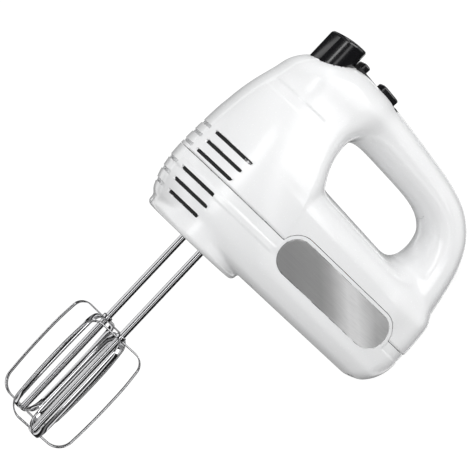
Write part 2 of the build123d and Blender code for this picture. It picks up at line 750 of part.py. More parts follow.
with BuildPart() as gear_bracket:
    with BuildSketch(across(BRACKET_TOP_W[0], (LEG_FRONT_U[0] + LEG_REAR_U[1]) / 2)):
        RectangleRounded(LEG_REAR_U[1] - LEG_FRONT_U[0], 64.0, 6.0)
    extrude(amount=BRACKET_TOP_W[1] - BRACKET_TOP_W[0])
    # Front leg with the front bearing's seat, rear leg that the shaft passes through.
    add(box(LEG_FRONT_U, (-9.0, 9.0), (FOOT_W, BRACKET_TOP_W[0])))
    add(box(LEG_REAR_U, (-29.0, 29.0), (FOOT_W, BRACKET_TOP_W[0])))
    add(box((LEG_FRONT_U[0], -18.5), (-4.0, 4.0), (FOOT_W, FOOT_W + 3.0)))
    for y in (-24.0, 24.0):
        add(box((18.0, 26.0), (y - 4.0, y + 4.0), (FOOT_W, FOOT_W + 3.0)))
    for u, y in BRACKET_SCREWS:
        with BuildSketch(across(FOOT_W, u, y)):
            Circle(SCREW_R)
        extrude(amount=3.0, mode=Mode.SUBTRACT)
        with BuildSketch(across(FOOT_W + 3.0, u, y)):
            Circle(SCREW_HEAD_R)
        extrude(amount=6.0, mode=Mode.SUBTRACT)
    with BuildSketch(station(LEG_FRONT_U[0] - 5.0, WORM_W)):
        Circle(BEARING_R)
    extrude(amount=10.0, mode=Mode.SUBTRACT)
    with BuildSketch(station(LEG_REAR_U[0] - 2.0, WORM_W)):
        Circle(8.0)
    extrude(amount=10.0, mode=Mode.SUBTRACT)
    for y in SPINDLES.values():
        with BuildSketch(across(BRACKET_TOP_W[0] - 1.0, 0.0, y)):
            Circle(UPPER_BUSH_R)
        extrude(amount=8.0, mode=Mode.SUBTRACT)
gear_bracket.part.label = "gear_bracket"
export_step(gear_bracket.part, "parts/gear_bracket.step")

for name, foot, outer_r, length in (("lower_bushes", 4.0, BUSH_R, 12.0), ("upper_bushes", 54.5, UPPER_BUSH_R, 7.0)):
    with BuildPart() as bushes:
        for y in SPINDLES.values():
            with BuildSketch(across(foot, 0.0, y)):
                Circle(outer_r)
                Circle(SPINDLE_R + RUNNING, mode=Mode.SUBTRACT)
            extrude(amount=length)
    bushes.part.label = name
    export_step(bushes.part, "parts/" + name + ".step")

# ---------------------------------------------------------------- spindles and beaters
SPINDLE_W = (1.0, 64.0)
GEAR_W = (42.0, 50.0)
SHAFT_TOP_W = 46.0
PIN_FOOT_W = 46.5
LUG_W = (2.4, 6.6)
LUG_HALF = 1.0
LUG_SPAN = 4.8
BLADE_TURN = {"left": -8.0, "right": -37.0}   # the two heads stand half a blade apart


def spindle(y, turn):
    """Hollow spindle with a cross slot at its mouth for the beater's drive lugs."""
    with BuildPart() as tube:
        with BuildSketch(across(SPINDLE_W[0], 0.0, y)):
            Circle(SPINDLE_R)
            Circle(BORE_R, mode=Mode.SUBTRACT)
        extrude(amount=SPINDLE_W[1] - SPINDLE_W[0])
        with BuildSketch(across(SPINDLE_W[0] - 1.0, 0.0, y)):
            Rectangle(4 * SPINDLE_R, 2 * LUG_HALF + 2 * GAP, rotation=turn)
        extrude(amount=LUG_W[1] + GAP + 1.0 - SPINDLE_W[0], mode=Mode.SUBTRACT)
    return tube.part


def gear(y):
    """Worm wheel with trapezoidal teeth, pressed on the spindle."""
    root = GEAR_TIP_R - 2.2
    pitch_width = math.pi * root / GEAR_TEETH
    with BuildPart() as wheel:
        with BuildSketch(across(GEAR_W[0], 0.0, y)):
            Circle(root)
            with PolarLocations(root + 1.0, GEAR_TEETH):
                Trapezoid(pitch_width, 2.4, 80, rotation=-90)
            Circle(SPINDLE_R, mode=Mode.SUBTRACT)
            with PolarLocations(10.0, 6):
                Circle(1.6, mode=Mode.SUBTRACT)
        extrude(amount=GEAR_W[1] - GEAR_W[0])
    return wheel.part


def push_pin(y):
    """Pin that the ejector fork drives down the spindle onto the beater shaft."""
    with BuildPart() as pin:
        with BuildSketch(across(PIN_FOOT_W, 0.0, y)):
            Circle(SHAFT_R)
        extrude(amount=FORK_W - GAP - 1.5 - PIN_FOOT_W)
        with BuildSketch(across(FORK_W - GAP - 1.5, 0.0, y)):
            Circle(4.5)
        extrude(amount=1.5)
    return pin.part


def beater_shaft(y, turn):
    """Beater shaft with a coned tip and flattened drive lugs."""
    with BuildPart() as shaft:
        with BuildSketch(across(HEAD_BOTTOM_W, 0.0, y)):
            Circle(SHAFT_R)
        extrude(amount=SHAFT_TOP_W - HEAD_BOTTOM_W)
        chamfer(shaft.faces().sort_by(Axis.X)[-1].edges(), 0.8)
        with BuildSketch(across(LUG_W[0], 0.0, y)):
            Rectangle(2 * LUG_SPAN, 2 * LUG_HALF, rotation=turn)
        extrude(amount=LUG_W[1] - LUG_W[0])
    return shaft.part


def beater_blades(y, turn):
    """Two crossed loops of flat strip, closed round the shaft at top and bottom."""
    with BuildPart() as loops:
        for quarter in (0.0, 90.0):
            angle = math.radians(turn + quarter)
            across_strip = (0, -math.cos(angle), -math.sin(angle))
            along = (0, math.sin(angle), -math.cos(angle))
            here = Plane(origin=spot(0, y, 0), x_dir=along, z_dir=across_strip)
            with BuildSketch(here) as outline:
                with BuildLine():
                    for hand in (1, -1):
                        ThreePointArc((hand * HEAD_SIDE_R, HEAD_TOP_W), (hand * HEAD_R, -110.0),
                                      (hand * HEAD_SIDE_R, HEAD_BOTTOM_W))
                    Line((-HEAD_SIDE_R, HEAD_TOP_W), (HEAD_SIDE_R, HEAD_TOP_W))
                    Line((-HEAD_SIDE_R, HEAD_BOTTOM_W), (HEAD_SIDE_R, HEAD_BOTTOM_W))
                make_face()
                fillet(outline.vertices().group_by(Axis.Y)[-1], 8.5)
                fillet(outline.vertices().group_by(Axis.Y)[0], 11.0)
                offset(amount=-STRIP_THICKNESS, mode=Mode.SUBTRACT)
            extrude(amount=STRIP_WIDTH / 2, both=True)
        with BuildSketch(across(HEAD_BOTTOM_W - 1.0, 0.0, y)):
            Circle(SHAFT_R)
        extrude(amount=HEAD_TOP_W - HEAD_BOTTOM_W + 2.0, mode=Mode.SUBTRACT)
    return loops.part


def beater_caps(y):
    """Collar over the crossed strips and riveted cap under them."""
    with BuildPart() as caps:
        with BuildSketch(across(HEAD_TOP_W, 0.0, y)):
            Circle(3.4)
            Circle(SHAFT_R, mode=Mode.SUBTRACT)
        extrude(amount=2.4)
        with BuildSketch(across(HEAD_BOTTOM_W, 0.0, y)):
            Circle(3.2)
        extrude(amount=-1.5)
    return caps.part


for hand, y in SPINDLES.items():
    turn = BLADE_TURN[hand]
    pieces = {
        "spindle": spindle(y, turn),
        "gear": gear(y),
        "push_pin": push_pin(y),
        "beater_shaft": beater_shaft(y, turn),
        "beater_blades": beater_blades(y, turn),
        "beater_caps": beater_caps(y),
    }
    for kind, piece in pieces.items():
        piece.label = hand + "_" + kind
        export_step(piece, "parts/" + hand + "_" + kind + ".step")
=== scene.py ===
"""Hand mixer parked on its heel: glossy moulded shells, steel plates, black controls, chrome beaters.

Lengths in the form section are millimetres in the mixer's own directions: u back from the
beater shafts to the heel, y across (left flank at -y), w up from the skirt to the handle.
place() turns them into the frame's metres.
"""
import json
import math

import bmesh
import bpy
import numpy as np
from mathutils import Matrix, Vector


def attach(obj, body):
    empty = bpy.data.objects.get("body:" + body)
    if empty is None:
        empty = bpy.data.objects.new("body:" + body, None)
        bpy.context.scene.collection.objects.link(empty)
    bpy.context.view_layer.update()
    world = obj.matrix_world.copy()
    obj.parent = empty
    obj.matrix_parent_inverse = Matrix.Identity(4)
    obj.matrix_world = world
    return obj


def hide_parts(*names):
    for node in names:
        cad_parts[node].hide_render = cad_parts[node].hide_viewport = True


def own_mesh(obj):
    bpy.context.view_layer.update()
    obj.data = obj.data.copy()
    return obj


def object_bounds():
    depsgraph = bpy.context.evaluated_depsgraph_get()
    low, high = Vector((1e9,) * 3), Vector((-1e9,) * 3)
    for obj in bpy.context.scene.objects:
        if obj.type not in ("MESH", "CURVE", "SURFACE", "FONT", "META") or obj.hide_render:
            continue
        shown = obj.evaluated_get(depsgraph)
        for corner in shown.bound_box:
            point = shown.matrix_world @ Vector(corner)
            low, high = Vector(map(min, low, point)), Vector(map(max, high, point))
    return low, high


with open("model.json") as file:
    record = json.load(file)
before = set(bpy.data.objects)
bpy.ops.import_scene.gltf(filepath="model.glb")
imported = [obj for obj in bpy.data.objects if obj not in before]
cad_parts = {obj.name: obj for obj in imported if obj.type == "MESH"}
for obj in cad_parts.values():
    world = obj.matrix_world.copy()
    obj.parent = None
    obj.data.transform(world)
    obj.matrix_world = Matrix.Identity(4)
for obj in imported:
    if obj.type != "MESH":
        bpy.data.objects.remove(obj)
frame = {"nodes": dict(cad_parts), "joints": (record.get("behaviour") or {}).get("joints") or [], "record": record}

CAD_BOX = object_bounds()
JOINTS = {joint["name"]: joint for joint in frame["joints"]}
HEEL_U = JOINTS["left_spindle_spin"]["pos_m"][2] * 1000
SPINDLE_Y = JOINTS["right_spindle_spin"]["pos_m"][1] * 1000
PARTING_W = 40.0
SCENE = bpy.context.scene


def place(points):
    """Mixer directions in mm (n, 3: u, y, w) to frame metres."""
    points = np.asarray(points, float).reshape(-1, 3)
    return np.stack([points[:, 2] - PARTING_W, points[:, 1], HEEL_U - points[:, 0]], axis=1) / 1000


def spot(u, y, w):
    return Vector(place((u, y, w))[0])


# ------------------------------------------------------------------ field tools
def curve(points):
    """A smooth curve through (x, y) points, level beyond its ends."""
    x, y = np.array(points, float).T
    step = np.diff(x)
    rise = np.diff(y) / step
    slope = np.concatenate([rise[:1], (rise[:-1] * step[1:] + rise[1:] * step[:-1]) / (step[:-1] + step[1:]),
                            rise[-1:]])

    def at(q):
        q = np.clip(q, x[0], x[-1])
        i = np.clip(np.searchsorted(x, q) - 1, 0, len(step) - 1)
        t = (q - x[i]) / step[i]
        t2 = t * t
        t3 = t2 * t
        return ((2 * t3 - 3 * t2 + 1) * y[i] + (t3 - 2 * t2 + t) * step[i] * slope[i]
                + (3 * t2 - 2 * t3) * y[i + 1] + (t3 - t2) * step[i] * slope[i + 1])
    return at


def round_max(a, b, radius):
    """Overlap of two fields with a round edge."""
    a = a + radius
    b = b + radius
    return np.hypot(np.maximum(a, 0), np.maximum(b, 0)) + np.minimum(np.maximum(a, b), 0) - radius


def blend_min(a, b, width):
    """Union of two fields with a soft fillet."""
    h = np.maximum(width - np.abs(a - b), 0) / width
    return np.minimum(a, b) - h * h * h * width / 6


def step_at(x, edge, soft):
    """0 below the edge and 1 above it, over a soft width."""
    t = np.clip((x - edge) / soft + 0.5, 0, 1)
    return t * t * (3 - 2 * t)


def slot_field(a, b, half_length, half_height):
    """Distance to a flat racetrack centred on the origin of (a, b)."""
    return np.hypot(np.maximum(np.abs(a) - (half_length - half_height), 0), b) - half_height


# ------------------------------------------------------------------ outer form
NOSE = curve([(0, -38.5), (5, -40.0), (8, -41.7), (14, -44.4), (20, -46.5), (30, -48.1), (42, -48.6), (60, -47.8),
              (75, -46.8), (90, -44.9), (100, -42.8), (110, -39.8), (120, -35.9), (126, -33.3), (131, -31.0),
              (136, -29.0), (142, -27.5), (153, -26.5)])
HEEL = curve([(0, 126), (5.5, 131), (9, 136.4), (14, 140.8), (20, 143.8), (27, 145.5), (31, 145.7), (58, 145.7),
              (66, 145.5), (74, 144.6), (84, 142.6), (94, 140.0)])
HALF = curve([(0, 33), (5.5, 36.5), (10, 39.4), (16, 41.6), (24, 42.9), (34, 43.4), (42, 43.4), (50, 43.0),
              (60, 41.9), (70, 40.0), (80, 37.3), (90, 34.2), (100, 31.0), (110, 27.9), (120, 25.0),
              (130, 22.2), (140, 19.6), (151, 17.0)])
NOSE_LENGTH = 72.0
TOWER_NOSE = curve([(42, 72), (60, 70), (75, 65), (90, 57), (105, 49), (120, 43), (135, 37), (151, 30)])
TOWER_HEEL = curve([(42, 34), (60, 31), (80, 27), (90, 24), (100, 22.3), (112, 22.5), (125, 27), (151, 34)])
DECK_W, DECK_U, DECK_SLOPE, DECK_CROWN = 80.9, 39.0, 0.056, 190.0
DECK_ROUND = 11.0
TOWER_TOP = 149.0
TOWER_FALL = 0.07
TOP_CROWN = 90.0
TOP_ROUND = 7.0
SPINE = [(-14, 131.6), (10, 131.8), (34, 132.0), (62.8, 130.0), (84, 127.9), (98, 125.2), (110, 120.2),
         (119.5, 111.6), (125.0, 99.5), (127.3, 85.0), (127.3, 70.0), (125.0, 56.0)]
SPINE_HALF = [17.0, 17.0, 16.6, 15.4, 14.5, 14.6, 15.3, 15.9, 16.8, 18.2, 20.5, 22.0]
SPINE_WIDTH = [17.0, 17.0, 16.5, 16.0, 16.0, 16.6, 17.6, 19.2, 21.6, 25.0, 29.0, 32.0]
WALL = 2.9
VENT_BACKING = 0.7                    # extra wall behind the vents


def spine_maps():
    """For each place beside the handle's middle line: distance from it, half height and half width there."""
    knots = np.arange(len(SPINE))
    fine = np.linspace(0, len(SPINE) - 1, 260)
    along = [curve(np.column_stack([knots, column]))(fine)
             for column in (*np.array(SPINE).T, SPINE_HALF, SPINE_WIDTH)]
    u_axis = np.arange(-60.0, 161.0, 1.0)
    w_axis = np.arange(-10.0, 171.0, 1.0)
    u, w = np.meshgrid(u_axis, w_axis, indexing="ij")
    best = np.full(u.shape, 1e9)
    half = np.zeros(u.shape)
    wide = np.zeros(u.shape)
    for i in range(len(fine) - 1):
        du, dw = along[0][i + 1] - along[0][i], along[1][i + 1] - along[1][i]
        t = np.clip(((u - along[0][i]) * du + (w - along[1][i]) * dw) / (du * du + dw * dw), 0, 1)
        gap = np.hypot(u - along[0][i] - t * du, w - along[1][i] - t * dw)
        near = gap < best
        best = np.where(near, gap, best)
        half = np.where(near, along[2][i] + t * (along[2][i + 1] - along[2][i]), half)
        wide = np.where(near, along[3][i] + t * (along[3][i + 1] - along[3][i]), wide)
    return (best * best, half, wide), u_axis[0], w_axis[0]


MAPS, MAP_U, MAP_W = spine_maps()


def look_up(u, w):
    """Values of the three spine maps at any place, between their 1 mm nodes."""
    u = np.clip(u - MAP_U, 0, MAPS[0].shape[0] - 1.001)
    w = np.clip(w - MAP_W, 0, MAPS[0].shape[1] - 1.001)
    i = u.astype(int)
    k = w.astype(int)
    a = u - i
    b = w - k
    return [(1 - a) * (1 - b) * m[i, k] + a * (1 - b) * m[i + 1, k] + (1 - a) * b * m[i, k + 1]
            + a * b * m[i + 1, k + 1] for m in MAPS]


def egg(u, y, nose, heel, half, heel_half, corner, nose_length):
    """Plan outline: half an ellipse at the nose, then flanks easing in to a rounded heel."""
    shoulder = nose + nose_length
    y = np.abs(y)
    ahead = np.minimum(u - shoulder, 0)
    reach = np.hypot(ahead / nose_length, y / half) + 1e-9
    front = reach * (reach - 1) / (np.hypot(ahead / nose_length ** 2, y / half ** 2) + 1e-9)
    back = np.clip((u - shoulder) / np.maximum(heel - shoulder, 1.0), 0, 1.3)
    flank = y - (half - (half - heel_half) * back * back)
    rear = round_max(flank, u - heel, corner)
    return np.where(u < shoulder, front, rear)


BROW_U, BROW_W, BROW_SLOPE = -26.0, 135.5, 0.64     # the slope in front of the eject button


def bare_form(u, y, w):
    """The mixer's outer form without its lines and recesses."""
    half = HALF(w)
    nose = NOSE(w)
    tub = egg(u, y, nose, HEEL(w), half, half - 7.5, 15.0, NOSE_LENGTH)
    deck = (w - (DECK_W - (u - DECK_U) * DECK_SLOPE)) + y * y / DECK_CROWN
    tub = round_max(tub, deck, DECK_ROUND)
    tub = round_max(tub, 5.5 - w, 5.0)
    tower = egg(u, y, nose, TOWER_HEEL(w), half, half - 3.0, 11.0, TOWER_NOSE(w))
    crown = y * y / TOP_CROWN
    tower = round_max(tower, w - TOWER_TOP + TOWER_FALL * np.maximum(u, 0) + crown, TOP_ROUND)
    tower = np.maximum(tower, 30.0 - w)
    gap2, tall, wide = look_up(u, w)
    handle = (np.sqrt(gap2 / tall ** 2 + y * y / wide ** 2) - 1) * np.minimum(tall, wide)
    # Wide fillets only where the hand opening needs them: elsewhere the forms run on from each other.
    body = blend_min(tub, tower, 1.5 + 22.0 * step_at(u, 16.0, 26.0) * step_at(w, 78.0, 26.0))
    fillet = 5.0 + 19.0 * (1 - step_at(u, 120.0, 24.0)) * (1 - 0.65 * step_at(w, 140.0, 14.0))
    body = blend_min(body, handle, fillet)
    brow = (w - BROW_W - BROW_SLOPE * (u - BROW_U) + crown) / math.hypot(1, BROW_SLOPE)
    body = round_max(body, brow, TOP_ROUND)
    skirt = egg(u, y, -39.0, 31.5, 36.0, 35.0, 30.0, 38.0)
    skirt = round_max(np.maximum(skirt, w - 20.0), -w, 3.5)
    body = blend_min(body, skirt, 3.0)
    return np.maximum(body, u - HEEL_U)


PLATE_U = (27.7 + 122.3) / 2
PLATE_HALF = (122.3 - 27.7) / 2
PLATE_W = 36.75
PLATE_TALL = 24.5 / 2
LAND = 2.6
SEAM = 0.2                            # half the gap between the two housings
BELT_TALL = 6.6
BELT_DEPTH = 0.6


def parting_w(u):
    return 40.8 - (u + 48) * 0.0076


def plate_field(u, w, grow):
    return slot_field(u - PLATE_U, w - PLATE_W, PLATE_HALF + grow, PLATE_TALL + grow)


def below_parting(u, w):
    """Positive above the parting line, which steps up over the plate's land."""
    return np.minimum(w - parting_w(u), plate_field(u, w, LAND))


def form(u, y, w):
    """Outer form with the spine band, the belt under the parting line and the front panel line."""
    body = bare_form(u, y, w)
    spine = (1 - step_at(np.abs(y), 8.8, 0.9)) * (1 - step_at(u, -16.0, 3.0)) * step_at(w, 6.0, 4.0)
    body = body - 0.55 * spine
    off_land = step_at(plate_field(u, w, LAND), 0.35, 0.7)
    drop = parting_w(u) - w
    belt = step_at(drop, -1.0, 0.6) * (1 - step_at(drop, BELT_TALL, 0.6)) * off_land
    belt = belt * step_at(np.abs(y), 9.4, 0.8)
    body = body + BELT_DEPTH * belt * (1 - step_at(w, 41.2, 0.5))
    panel = step_at(w, 102.6, 1.2) * (1 - step_at(w, 109.6, 0.6)) * (1 - step_at(u, -1.6, 2.0))
    panel = panel * step_at(np.abs(y), 9.4, 0.8)
    return body + 0.45 * panel


# ------------------------------------------------------------------ cut-outs
VENT_ROWS = ((59.7, 33.6), (52.1, 33.7), (44.3, 33.8), (30.6, 33.2), (22.6, 32.6), (14.7, 31.3))    # height, reach
VENT_START = 14.0
VENT_HALF = 1.15
VENT_DEPTH = 2.1
NOTCH_HALF = 9.8
EJECT_U = -15.7
EJECT_R = 12.5
DECK_MID_U = 17.0
DECK_MID_W = 149.0
DECK_FALL = math.radians(4.4)


def deck_coords(u, w):
    """Along and above the switch deck."""
    du, dw = u - DECK_MID_U, w - DECK_MID_W
    return du * math.cos(DECK_FALL) - dw * math.sin(DECK_FALL), du * math.sin(DECK_FALL) + dw * math.cos(DECK_FALL)


def vents(u, y, w):
    """Slots on each side of the nose and notches across its spine."""
    nearest = 1e9
    for row, reach in VENT_ROWS:
        sides = round_max(np.abs(np.abs(y) - (VENT_START + reach) / 2) - (reach - VENT_START) / 2,
                          np.abs(w - row) - VENT_HALF, 0.3)
        spine = slot_field(y, w - row, NOTCH_HALF, VENT_HALF)
        nearest = np.minimum(nearest, np.minimum(sides, spine))
    return np.maximum(nearest, u + 10.0)


def vent_cut(u, y, w, body):
    """The vents, stopped just short of the wall's inner face."""
    return np.maximum(vents(u, y, w), -(body + VENT_DEPTH))


def eject_well(u, y, w):
    return np.maximum(np.hypot(u - EJECT_U, y) - (EJECT_R + 0.35), 120.0 - w)


def deck_pocket(u, y, w):
    along, above = deck_coords(u, w)
    wall = round_max(np.abs(along + 0.05) - 18.9, np.abs(y) - 7.95, 2.0)
    return np.maximum(wall, -3.05 - above)


def cover_window(u, y, w):
    """The part of the handle's inner side that is a separate cover."""
    return np.maximum(round_max(np.abs(u - 64.0) - 34.0, np.abs(y) - 10.0, 4.0), np.maximum(w - 123.0, 99.0 - w))


CORD_U = 136.4
CORD_W = 97.0
CORD_RISE = math.radians(30.0)


def gland_hole(u, y, w):
    du, dw = u - CORD_U, w - CORD_W
    off_axis = np.hypot(-du * math.sin(CORD_RISE) + dw * math.cos(CORD_RISE), y)
    return np.maximum(off_axis - 6.1, -12.0 - du * math.cos(CORD_RISE) - dw * math.sin(CORD_RISE))


SCREWS = ((33.0, 32.6), (126.5, 27.0), (-35.6, 0.0))


def inner_face(u, body):
    """The shell's inner side, thicker behind the vents."""
    return -(body + WALL + VENT_BACKING * (1 - step_at(u, -12.0, 6.0)))


def upper_fields(u, y, w):
    body = form(u, y, w)
    return [body, inner_face(u, body), -below_parting(u, w) + SEAM, -vent_cut(u, y, w, body), -eject_well(u, y, w),
            -deck_pocket(u, y, w), 0.14 - cover_window(u, y, w), -gland_hole(u, y, w)]


def lower_fields(u, y, w):
    body = form(u, y, w)
    around = np.hypot(u, np.abs(y) - SPINDLE_Y)
    bosses = np.maximum(around - 11.0, w - 16.0)
    wells = 1e9
    for screw_u, screw_y in SCREWS:
        off = np.hypot(u - screw_u, np.abs(y) - screw_y)
        bosses = np.minimum(bosses, np.maximum(off - 5.0, w - 18.0))
        wells = np.minimum(wells, np.maximum(off - 2.9, w - 12.0))
    solid = np.minimum(np.maximum(body, inner_face(u, body)), np.maximum(bosses, body))
    seat = np.maximum(plate_field(u, w, 0.2), -0.95 - body)
    sockets = np.minimum(around - 7.0, np.maximum(around - 9.0, 4.0 - w))
    return [solid, below_parting(u, w) + SEAM, -vent_cut(u, y, w, body), -seat, -sockets, -wells]


def cover_fields(u, y, w):
    body = form(u, y, w)
    return [body + 0.1, -(body + WALL), cover_window(u, y, w)]


def plate_fields(hand):
    def fields(u, y, w):
        body = form(u, y, w)
        face = round_max(body + 0.2, plate_field(u, w, 0.0), 0.2)
        return [face, -(body + 0.9), -hand * y + 20.0]
    return fields


# ------------------------------------------------------------------ surface from a field
def surface(fields, low, high, cell):
    """Quads on the zero level of the highest of some fields, with crisp edges where two meet."""
    cell = np.broadcast_to(np.asarray(cell, float), 3)
    axes = [np.arange(low[i], high[i] + cell[i], cell[i]) for i in range(3)]
    u, y, w = axes[0][:, None, None], axes[1][None, :, None], axes[2][None, None, :]
    value = None
    for layer in fields(u, y, w):
        value = layer if value is None else np.maximum(value, layer)
    value = np.broadcast_to(value, [len(a) for a in axes]).astype(np.float32)
    inside = value < 0
    corners = [(i, j, k) for i in (0, 1) for j in (0, 1) for k in (0, 1)]
    size = [n - 1 for n in value.shape]

    def corner(a, c):
        return a[c[0]:c[0] + size[0], c[1]:c[1] + size[1], c[2]:c[2] + size[2]]

    count = sum(corner(inside, c).astype(np.int8) for c in corners)
    cells = np.argwhere((count > 0) & (count < 8))
    index = np.full(size, -1, np.int64)
    index[tuple(cells.T)] = np.arange(len(cells))
    held = np.stack([value[tuple((cells + c).T)] for c in corners], axis=1)
    total = np.zeros((len(cells), 3))
    hits = np.zeros((len(cells), 1))
    for a, ca in enumerate(corners):
        for b, cb in enumerate(corners):
            if sum(cb) - sum(ca) == 1 and all(q >= p for p, q in zip(ca, cb)):
                fa, fb = held[:, a], held[:, b]
                cross = (fa < 0) != (fb < 0)
                t = np.where(cross, fa / np.where(cross, fa - fb, 1), 0)[:, None]
                at = np.array(ca) + t * (np.array(cb) - np.array(ca))
                total += np.where(cross[:, None], at, 0)
                hits += cross[:, None]
    points = np.array(low) + (cells + total / hits) * cell
    points = settle(fields, points, cell.min())
    quads = []
    for axis in range(3):
        first = [slice(None)] * 3
        second = [slice(None)] * 3
        first[axis], second[axis] = slice(None, -1), slice(1, None)
        one, two = inside[tuple(first)], inside[tuple(second)]
        at = np.argwhere(one != two)
        p, q = [i for i in range(3) if i != axis]
        at = at[(at[:, p] > 0) & (at[:, q] > 0) & (at[:, p] < size[p]) & (at[:, q] < size[q])]
        ring = []
        for dp, dq in ((1, 1), (0, 1), (0, 0), (1, 0)):
            c = at.copy()
            c[:, p] -= dp
            c[:, q] -= dq
            ring.append(index[tuple(c.T)])
        ring = np.stack(ring, axis=1)
        flip = one[tuple(at.T)] != (axis == 1)
        ring[~flip] = ring[~flip][:, ::-1]
        quads.append(ring)
    return points, np.concatenate(quads)


def settle(fields, points, cell):
    """Moves points onto the surface, and those beside a crease onto the crease."""
    start = points.copy()
    delta = 0.04
    for _ in range(3):
        held = np.stack(fields(*points.T), axis=1)
        slopes = []
        for axis in range(3):
            nudge = np.zeros(3)
            nudge[axis] = delta
            ahead = np.stack(fields(*(points + nudge).T), axis=1)
            behind = np.stack(fields(*(points - nudge).T), axis=1)
            slopes.append((ahead - behind) / (2 * delta))
        slopes = np.stack(slopes, axis=2)
        order = np.argsort(-held, axis=1)[:, :2]
        rows = np.arange(len(points))
        g1, g2 = held[rows, order[:, 0]], held[rows, order[:, 1]]
        n1, n2 = slopes[rows, order[:, 0]], slopes[rows, order[:, 1]]
        a11 = (n1 * n1).sum(1) + 1e-6
        a22 = (n2 * n2).sum(1) + 1e-6
        a12 = (n1 * n2).sum(1)
        det = a11 * a22 - a12 * a12
        crease = (g1 - g2 < 0.5 * cell) & (det > 0.1 * a11 * a22)
        det = np.where(crease, det, 1)
        l1 = np.where(crease, (a22 * g1 - a12 * g2) / det, g1 / a11)
        l2 = np.where(crease, (a11 * g2 - a12 * g1) / det, 0)
        points = points - (l1[:, None] * n1 + l2[:, None] * n2)
        moved = points - start
        far = np.linalg.norm(moved, axis=1) / (0.9 * cell)
        points = start + moved / np.maximum(far, 1)[:, None]
    return points


def mesh_object(name, points, faces, smooth_angle=35.0):
    """A Blender mesh from mixer-direction points, smooth except across sharp edges."""
    mesh = bpy.data.meshes.new(name)
    mesh.from_pydata(place(points).tolist(), [], [tuple(f) for f in np.asarray(faces).tolist()])
    mesh.validate()
    mesh.update()
    mesh.shade_smooth()
    mesh.set_sharp_from_angle(angle=math.radians(smooth_angle))
    piece = bpy.data.objects.new(name, mesh)
    SCENE.collection.objects.link(piece)
    return piece


# ------------------------------------------------------------------ other solids
def lathe(name, profile, axis_u, axis_y, turns=72, shear=None):
    """A solid of revolution round an upright axis, from a closed (radius, height) profile."""
    profile = np.array(profile, float)
    angle = np.linspace(0, 2 * math.pi, turns, endpoint=False)
    body = [(i, p) for i, p in enumerate(profile) if p[0] > 1e-6]
    points = []
    for _, (radius, height) in body:
        ring = np.stack([axis_u + radius * np.cos(angle), axis_y + radius * np.sin(angle),
                         np.full(turns, height)], axis=1)
        points.append(ring)
    points = np.concatenate(points)
    faces = []
    for row in range(len(body) - 1):
        for k in range(turns):
            n = (k + 1) % turns
            faces.append((row * turns + k, row * turns + n, (row + 1) * turns + n, (row + 1) * turns + k))
    foot = len(points)
    caps = np.array([(axis_u, axis_y, profile[0][1]), (axis_u, axis_y, profile[-1][1])])
    points = np.concatenate([points, caps])
    last = (len(body) - 1) * turns
    for k in range(turns):
        n = (k + 1) % turns
        faces.append((foot, n, k))
        faces.append((foot + 1, last + k, last + n))
    if shear:
        points = shear(points)
    return solid_object(name, points, faces)


def solid_object(name, points, faces, smooth_angle=40.0):
    """A mesh of mixed faces, given in mixer directions, with its normals turned outwards."""
    mesh = bpy.data.meshes.new(name)
    mesh.from_pydata(place(points).tolist(), [], faces)
    shape = bmesh.new()
    shape.from_mesh(mesh)
    bmesh.ops.recalc_face_normals(shape, faces=shape.faces)
    shape.to_mesh(mesh)
    shape.free()
    mesh.shade_smooth()
    mesh.set_sharp_from_angle(angle=math.radians(smooth_angle))
    piece = bpy.data.objects.new(name, mesh)
    SCENE.collection.objects.link(piece)
    return piece


def arc(centre, radius, start, end, steps=8):
    """Points on a circular arc, angles in degrees."""
    angles = np.radians(np.linspace(start, end, steps))
    return [(centre[0] + radius * math.cos(a), centre[1] + radius * math.sin(a)) for a in angles]


def eject_button():
    radius = EJECT_R
    profile = [(0.0, 130.0), (radius - 0.4, 130.0), (radius, 130.4), (radius, 155.8)]
    profile += arc((radius - 2.2, 155.8), 2.2, 0, 62, 10)
    rim_r, rim_w = profile[-1]
    crown = [(rim_r * (1 - t), rim_w + 1.15 * (1 - (1 - t) ** 2)) for t in (0.15, 0.35, 0.6, 0.85)]
    profile += crown + [(0.0, rim_w + 1.15)]

    def tilt(points):
        lift = step_at(points[:, 2], 150.0, 14.0)
        points[:, 2] += lift * (points[:, 0] - EJECT_U) * 0.17
        return points
    return lathe("eject_button_cap", profile, EJECT_U, 0.0, 96, tilt)


